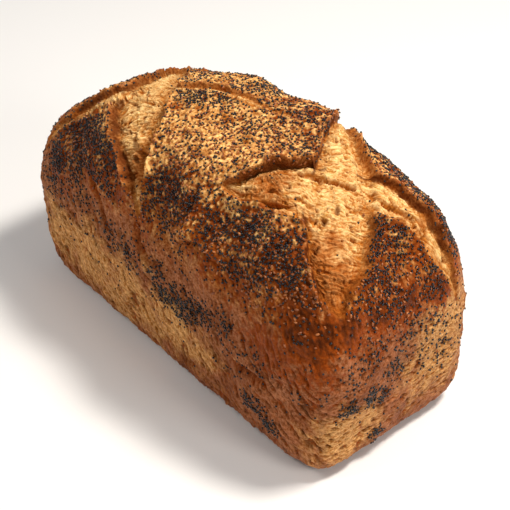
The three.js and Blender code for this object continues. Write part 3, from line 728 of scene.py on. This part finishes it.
# near the tear's edges the crumb turns browner, partly toasting and partly painted shade under the lip
atEdge = 1 - stepOf("toastedAndShadedEdgeMm", masks["tearIn"] + fleck)
crumb = blend(crumb, tones["toasted"], toning["toastedAndShadedEdge"] * atEdge)
# painted shade in the crumb's pits and holes and in its lowest strands
hollow = np.maximum(masks["hollow"], 1 - stepOf("hollowShade", masks["crumbShade"]))
crumb = blend(crumb, tones["crumbHollow"], toning["hollow"] * hollow)
# darker under the lips: partly singe, partly painted shade
crumb = blend(crumb, tones["singedAndShaded"], toning["singedAndShaded"] * masks["singedAndShaded"])
tone = blend(tone, crumb, masks["bared"])
atBase = 1 - stepOf("baseEdgeHeights", height + toning["baseEdgePatch"] * patch)
tone = blend(tone, tones["baseEdge"], toning["baseEdge"] * atBase)

# where the seeds lie: on the crust, hardly in the tears
bare = 1 - toning["seedsLost"] * stepOf("seedsTorn", torn)
thin = toning["darkCrown"] * upperCrust + toning["darkWall"] * stepOf("darkWallHeights", height)
dark = np.maximum(spread(skin, darkSeedPlaces, toning["seedFade"]), thin)
darkSeeds = np.clip(dark * (1 + mottle(toning["darkMottle"])), 0, 1) * bare
red = np.maximum(spread(skin, redSeedPlaces, toning["seedFade"]), toning["redCrown"] * upperCrust)
red *= (toning["redAlone"] - toning["redAmongDark"] * darkSeeds) * (1 + mottle(toning["redMottle"]))
redSeeds = np.clip(red, 0, 1) * bare
# painted shade on the crust among the dense black seeds, in the burnt crust's tone
tone = blend(tone, tones["burnt"], toning["seedShade"] * darkSeeds)
shine = np.clip(toning["shineLeast"] + toning["shineBrowned"] * stepOf("shineBlend", browned), 0, 1)
shine *= 1 - toning["shineTorn"] * torn
print("crust toned")

# shading normals from the whole crust, so the crown and the walls meet without a line
corners = crust[quads]
faceWays = np.cross(corners[:, 2] - corners[:, 0], corners[:, 3] - corners[:, 1])
crustNormals = np.zeros_like(crust)
for corner in range(4):
    np.add.at(crustNormals, quads[:, corner], faceWays)
crustNormals /= np.maximum(np.linalg.norm(crustNormals, axis=1, keepdims=True), 1e-9)


# one closed piece from some of the crust's quads, capped inside the loaf or at its base
def crustPiece(name, pieceQuads, caps):
    used = np.unique(pieceQuads)
    renumber = np.zeros(len(crust), dtype=int)
    renumber[used] = np.arange(len(used))
    capFaces = [renumber[cap].tolist() for cap in caps]
    mesh = bpy.data.meshes.new(name)
    mesh.from_pydata((crust[used] / 1000).tolist(), [], renumber[pieceQuads].tolist() + capFaces)
    mesh.attributes.new("tone", "FLOAT_COLOR", "POINT").data.foreach_set("color", tone[used].ravel())
    mesh.attributes.new("shine", "FLOAT", "POINT").data.foreach_set("value", shine[used])
    fibre = masks["fibre"][used].ravel()
    mesh.attributes.new("fibre", "FLOAT_VECTOR", "POINT").data.foreach_set("vector", fibre)
    mesh.polygons.foreach_set("use_smooth", [True] * len(pieceQuads) + [False] * len(caps))
    mesh.update()
    loopNormals = crustNormals[used][renumber[pieceQuads].ravel()]
    capNormals = [mesh.polygons[len(pieceQuads) + i].normal for i, cap in enumerate(caps) for _ in cap]
    mesh.normals_split_custom_set(np.concatenate([loopNormals, np.array(capNormals).reshape(-1, 3)]).tolist())
    piece = bpy.data.objects.new(name, mesh)
    scene.collection.objects.link(piece)
    print(name, len(mesh.polygons), "faces")
    return piece


shoulderStart = columns * rows
wallStart = shoulderStart + len(ring) * loafForm["domeRows"]
crown = crustPiece("crownCrust", quads[:shoulderStart], [ring[::-1]])
shoulderRing = quads[wallStart:wallStart + len(ring), 0]
shoulder = crustPiece("shoulderCrust", quads[shoulderStart:wallStart], [ring, shoulderRing[::-1]])
walls = crustPiece("wallCrust", quads[wallStart:], [shoulderRing, upper[::-1]])


# baked sourdough crust: its tones, fibres and a fine grain, darker and redder in its gaps as painted shade
# and lighter on its crests as painted light, and a shine that is strongest where it browned; there the grain
# shows less
crustLook = {
    "grainMm": 0.9, "grainShare": 0.5, "grainDepthMm": 0.7, "bump": 0.8, "crests": (0.6, 0.88),
    "gapShadeTint": (0.6, 0.39, 0.17), "crestLightTint": (1.2, 1.23, 1.3),
    "glazedShine": (0.35, 0.85), "glazedMost": 0.6, "glazedGrain": 0.62,
    "roughest": 0.75, "smoothest": 0.34, "ior": 1.45, "specular": 0.2, "sheen": "#f0c48c",
}


def crustMaterial(look):
    material = bpy.data.materials.new("bakedSourdoughCrust")
    material.use_nodes = True
    tree = material.node_tree
    tree.nodes.clear()
    place = addNode(tree, "ShaderNodeTexCoord").outputs["Object"]
    tone = addNode(tree, "ShaderNodeAttribute", {"attribute_name": "tone"})
    shineNow = addNode(tree, "ShaderNodeAttribute", {"attribute_name": "shine"})
    grainNoise = addNode(tree, "ShaderNodeTexNoise", None, {
        "Vector": place, "Scale": 1000 / look["grainMm"], "Detail": 3.0, "Roughness": 0.6})
    # the fibre attribute is already in grains, so its noise has a scale of one
    fibre = addNode(tree, "ShaderNodeAttribute", {"attribute_name": "fibre"}).outputs["Vector"]
    fibreNoise = addNode(tree, "ShaderNodeTexNoise", None, {
        "Vector": fibre, "Scale": 1.0, "Detail": 2.5, "Roughness": 0.6})
    relief = addNode(tree, "ShaderNodeMath", {"operation": "MULTIPLY_ADD"}, {
        0: grainNoise.outputs["Fac"], 1: look["grainShare"], 2: fibreNoise.outputs["Fac"]})
    crest = addNode(tree, "ShaderNodeMapRange", None, {
        "Value": relief.outputs[0], "From Min": look["crests"][0], "From Max": look["crests"][1]})
    glazed = addNode(tree, "ShaderNodeMapRange", None, {
        "Value": shineNow.outputs["Fac"], "From Min": look["glazedShine"][0],
        "From Max": look["glazedShine"][1], "To Max": look["glazedMost"]})
    shown = addNode(tree, "ShaderNodeMix", {"data_type": "FLOAT"}, {
        0: glazed.outputs["Result"], 2: crest.outputs["Result"], 3: look["glazedGrain"]})
    # painted shade and light: the tone darker and redder in the grain's gaps, lighter on its crests
    paintedGapShade = addNode(tree, "ShaderNodeVectorMath", {"operation": "MULTIPLY"}, {
        0: tone.outputs["Color"], 1: look["gapShadeTint"]})
    paintedCrestLight = addNode(tree, "ShaderNodeVectorMath", {"operation": "MULTIPLY"}, {
        0: tone.outputs["Color"], 1: look["crestLightTint"]})
    colour = addNode(tree, "ShaderNodeMix", {"data_type": "VECTOR"}, {
        0: shown.outputs[0], 4: paintedGapShade.outputs["Vector"], 5: paintedCrestLight.outputs["Vector"]})
    bump = addNode(tree, "ShaderNodeBump", None, {
        "Strength": look["bump"], "Distance": look["grainDepthMm"] / 1000, "Height": relief.outputs[0]})
    rough = addNode(tree, "ShaderNodeMapRange", None, {
        "Value": shineNow.outputs["Fac"], "To Min": look["roughest"], "To Max": look["smoothest"]})
    shader = addNode(tree, "ShaderNodeBsdfPrincipled", None, {
        "Base Color": colour.outputs[1], "Roughness": rough.outputs["Result"],
        "Normal": bump.outputs["Normal"], "IOR": look["ior"], "Specular IOR Level": look["specular"],
        "Specular Tint": hexColour(look["sheen"])})
    addNode(tree, "ShaderNodeOutputMaterial", None, {"Surface": shader.outputs["BSDF"]})
    return material


bakedCrust = crustMaterial(crustLook)
for piece in (crown, shoulder, walls):
    piece.data.materials.append(bakedCrust)
    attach(piece, "root")
    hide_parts("loaf")
print("crust material set")

# seeds strewn on the dough before baking: sizes, gap and lift in mm, most for each square metre
seedKinds = {
    "blackChia": {"mask": darkSeeds, "size": (1.6, 1.25, 1.0), "closest": 1.1, "most": 900000.0, "lift": 0.25,
                  "tones": ("#050608", "#191a1f"), "start": 3},
    "redChia": {"mask": redSeeds, "size": (2.6, 1.35, 1.0), "closest": 1.7, "most": 260000.0, "lift": 0.22,
                "tones": ("#5c2008", "#ba6e34"), "start": 8},
}
# what both kinds share: faces of one seed, its lean in radians, its growth, its coat
seedLook = {
    "faces": 20, "lean": 0.35, "growth": (0.8, 1.15),
    "mottleMm": 0.556, "toneShare": 0.7, "mottleShare": 0.4, "roughness": 0.3, "ior": 1.47, "specular": 0.5,
}


# ripe chia: hard smooth coat with a dull shine, each seed a little lighter or darker
def seedMaterial(name, tones):
    material = bpy.data.materials.new(name)
    material.use_nodes = True
    tree = material.node_tree
    tree.nodes.clear()
    tone = addNode(tree, "ShaderNodeAttribute", {"attribute_name": "seedTone"}).outputs["Fac"]
    place = addNode(tree, "ShaderNodeTexCoord").outputs["Object"]
    mottled = addNode(tree, "ShaderNodeTexNoise", None, {
        "Vector": place, "Scale": 1000 / seedLook["mottleMm"], "Detail": 1.0})
    weaker = addNode(tree, "ShaderNodeMapRange", None, {
        "Value": mottled.outputs["Fac"], "To Max": seedLook["mottleShare"]})
    share = addNode(tree, "ShaderNodeMath", {"operation": "MULTIPLY_ADD"}, {
        0: tone, 1: seedLook["toneShare"], 2: weaker.outputs["Result"]})
    colour = addNode(tree, "ShaderNodeMix", {"data_type": "RGBA"}, {
        0: share.outputs[0], 6: hexColour(tones[0]), 7: hexColour(tones[1])}).outputs[2]
    shader = addNode(tree, "ShaderNodeBsdfPrincipled", None, {
        "Base Color": colour, "Roughness": seedLook["roughness"], "IOR": seedLook["ior"],
        "Specular IOR Level": seedLook["specular"]})
    addNode(tree, "ShaderNodeOutputMaterial", None, {"Surface": shader.outputs["BSDF"]})
    return material


# seeds on the crust where the strewn attribute puts them, lying flat, turned and sized at random
def seedTree(material):
    tree = bpy.data.node_groups.new("strewnSeeds", "GeometryNodeTree")
    sockets = {"Crust": "Geometry", "Seed size": "Vector", "Closest": "Float", "Most": "Float",
               "Lift": "Float", "Start": "Int"}
    for name, kind in sockets.items():
        tree.interface.new_socket(name, in_out="INPUT", socket_type="NodeSocket" + kind)
    tree.interface.new_socket("Seeds", in_out="OUTPUT", socket_type="NodeSocketGeometry")
    given = addNode(tree, "NodeGroupInput").outputs
    density = addNode(tree, "GeometryNodeInputNamedAttribute", {"data_type": "FLOAT"}, {"Name": "strewn"})
    strewn = addNode(tree, "GeometryNodeDistributePointsOnFaces", {"distribute_method": "POISSON"}, {
        "Mesh": given["Crust"], "Distance Min": given["Closest"], "Density Max": given["Most"],
        "Density Factor": density.outputs["Attribute"], "Seed": given["Start"]})
    lifted = addNode(tree, "ShaderNodeVectorMath", {"operation": "SCALE"}, {
        0: strewn.outputs["Normal"], "Scale": given["Lift"]})
    seated = addNode(tree, "GeometryNodeSetPosition", None, {
        "Geometry": strewn.outputs["Points"], "Offset": lifted.outputs["Vector"]})
    tone = addNode(tree, "FunctionNodeRandomValue", {"data_type": "FLOAT"}, {"Seed": 4})
    toned = addNode(tree, "GeometryNodeStoreNamedAttribute", {"data_type": "FLOAT", "domain": "POINT"}, {
        "Geometry": seated.outputs["Geometry"], "Name": "seedTone", "Value": tone.outputs[1]})
    lean = seedLook["lean"]
    turn = addNode(tree, "FunctionNodeRandomValue", {"data_type": "FLOAT_VECTOR"}, {
        0: (-lean, -lean, -math.pi), 1: (lean, lean, math.pi), "Seed": 5})
    spun = addNode(tree, "FunctionNodeEulerToRotation", None, {0: turn.outputs[0]})
    aligned = addNode(tree, "FunctionNodeRotateRotation", {"rotation_space": "LOCAL"}, {
        0: strewn.outputs["Rotation"], 1: spun.outputs[0]})
    smallest, largest = seedLook["growth"]
    grow = addNode(tree, "FunctionNodeRandomValue", {"data_type": "FLOAT"}, {
        2: smallest, 3: largest, "Seed": 6})
    sized = addNode(tree, "ShaderNodeVectorMath", {"operation": "SCALE"}, {
        0: given["Seed size"], "Scale": grow.outputs[1]})
    grain = addNode(tree, "GeometryNodeMeshIcoSphere", None, {"Radius": 0.5, "Subdivisions": 1})
    placed = addNode(tree, "GeometryNodeInstanceOnPoints", None, {
        "Points": toned.outputs["Geometry"], "Instance": grain.outputs["Mesh"],
        "Rotation": aligned.outputs[0], "Scale": sized.outputs["Vector"]})
    real = addNode(tree, "GeometryNodeRealizeInstances", None, {"Geometry": placed.outputs["Instances"]})
    rounded = addNode(tree, "GeometryNodeSetShadeSmooth", None, {"Geometry": real.outputs["Geometry"]})
    coated = addNode(tree, "GeometryNodeSetMaterial", None, {
        "Geometry": rounded.outputs["Geometry"], "Material": material})
    addNode(tree, "NodeGroupOutput", None, {"Seeds": coated.outputs["Geometry"]})
    return tree


def strewSeeds(name, kind):
    carrier = bpy.data.objects.new(name + "Carrier", seedBed.copy())
    carrier.data.attributes.new("strewn", "FLOAT", "POINT").data.foreach_set("value", kind["mask"])
    scene.collection.objects.link(carrier)
    modifier = carrier.modifiers.new("seeds", "NODES")
    modifier.node_group = seedTree(seedMaterial(name + "Coat", kind["tones"]))
    sockets = {item.name: item.identifier for item in modifier.node_group.interface.items_tree}
    modifier[sockets["Seed size"]] = tuple(s / 1000 for s in kind["size"])
    modifier[sockets["Closest"]] = kind["closest"] / 1000
    modifier[sockets["Most"]] = kind["most"]
    modifier[sockets["Lift"]] = kind["lift"] / 1000
    modifier[sockets["Start"]] = kind["start"]
    seen = carrier.evaluated_get(bpy.context.evaluated_depsgraph_get())
    mesh = bpy.data.meshes.new_from_object(seen)
    mesh.name = name
    carrierMesh = carrier.data
    bpy.data.objects.remove(carrier)
    bpy.data.meshes.remove(carrierMesh)
    seeds = bpy.data.objects.new(name, mesh)
    scene.collection.objects.link(seeds)
    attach(seeds, "root")
    print(name, len(mesh.polygons) // seedLook["faces"], "seeds,", len(mesh.polygons), "faces")


# the crust without its caps, for the seeds to lie on
seedBed = bpy.data.meshes.new("seedBed")
seedBed.from_pydata((crust / 1000).tolist(), [], quads.tolist())
for name, kind in seedKinds.items():
    strewSeeds(name, kind)
bpy.data.meshes.remove(seedBed)

# plain pale floor, and soft studio light from behind and above with weaker ones in front and at the side
studio = {
    "floorSize": 6.0, "floorDrop": 0.0005, "floor": "#f7f5f2", "floorRoughness": 0.9,
    "world": "#f4f6fb", "worldStrength": 0.27, "aim": (0, 0, 0.07),
    "lights": {
        "key": {"place": (0.36, 0.34, 1.1), "size": 0.22, "power": 13.0, "colour": "#fffaf3"},
        "front": {"place": (-0.35, -0.75, 1.0), "size": 0.4, "power": 3.6, "colour": "#fffaf4"},
        "side": {"place": (1.1, 0.1, 0.75), "size": 0.4, "power": 4.6, "colour": "#fffaf4"},
    },
}
scene.view_settings.view_transform = "Standard"
scene.view_settings.look = "None"
floorMaterial = bpy.data.materials.new("paleStudioFloor")
floorMaterial.use_nodes = True
floorShader = floorMaterial.node_tree.nodes["Principled BSDF"]
floorShader.inputs["Base Color"].default_value = hexColour(studio["floor"])
floorShader.inputs["Roughness"].default_value = studio["floorRoughness"]
reach = studio["floorSize"] / 2
floorMesh = bpy.data.meshes.new("floor")
floorMesh.from_pydata([(-reach, -reach, 0), (reach, -reach, 0), (reach, reach, 0), (-reach, reach, 0)], [],
                      [(0, 1, 2, 3)])
floorMesh.materials.append(floorMaterial)
floor = bpy.data.objects.new("floor", floorMesh)
floor.location.z = -studio["floorDrop"]
scene.collection.objects.link(floor)

world = bpy.data.worlds.new("studio")
world.use_nodes = True
background = world.node_tree.nodes["Background"]
background.inputs["Color"].default_value = hexColour(studio["world"])
background.inputs["Strength"].default_value = studio["worldStrength"]
scene.world = world

for name, settings in studio["lights"].items():
    data = bpy.data.lights.new(name, "AREA")
    data.shape = "SQUARE"
    data.size = settings["size"]
    data.energy = settings["power"]
    data.color = hexColour(settings["colour"])[:3]
    light = bpy.data.objects.new(name, data)
    light.location = settings["place"]
    light.rotation_euler = (Vector(studio["aim"]) - light.location).to_track_quat("-Z", "Y").to_euler()
    scene.collection.objects.link(light)
print("floor and lights set")

# camera at the photograph's angle, in degrees, metres and mm of lens
viewpoint = {
    "azimuth": 49.2, "elevation": 39.7, "distance": 0.821, "aim": (0.0118, 0.0, 0.061),
    "lens": 98.8, "sensor": 36.0,
}
azimuth = math.radians(viewpoint["azimuth"])
elevation = math.radians(viewpoint["elevation"])
outward = math.cos(elevation)
back = Vector((math.sin(azimuth) * outward, -math.cos(azimuth) * outward, math.sin(elevation)))
cameraData = bpy.data.cameras.new("camera")
cameraData.lens = viewpoint["lens"]
cameraData.sensor_width = viewpoint["sensor"]
camera = bpy.data.objects.new("camera", cameraData)
camera.location = Vector(viewpoint["aim"]) + back * viewpoint["distance"]
camera.rotation_euler = (-back).to_track_quat("-Z", "Y").to_euler()
scene.collection.objects.link(camera)
scene.camera = camera
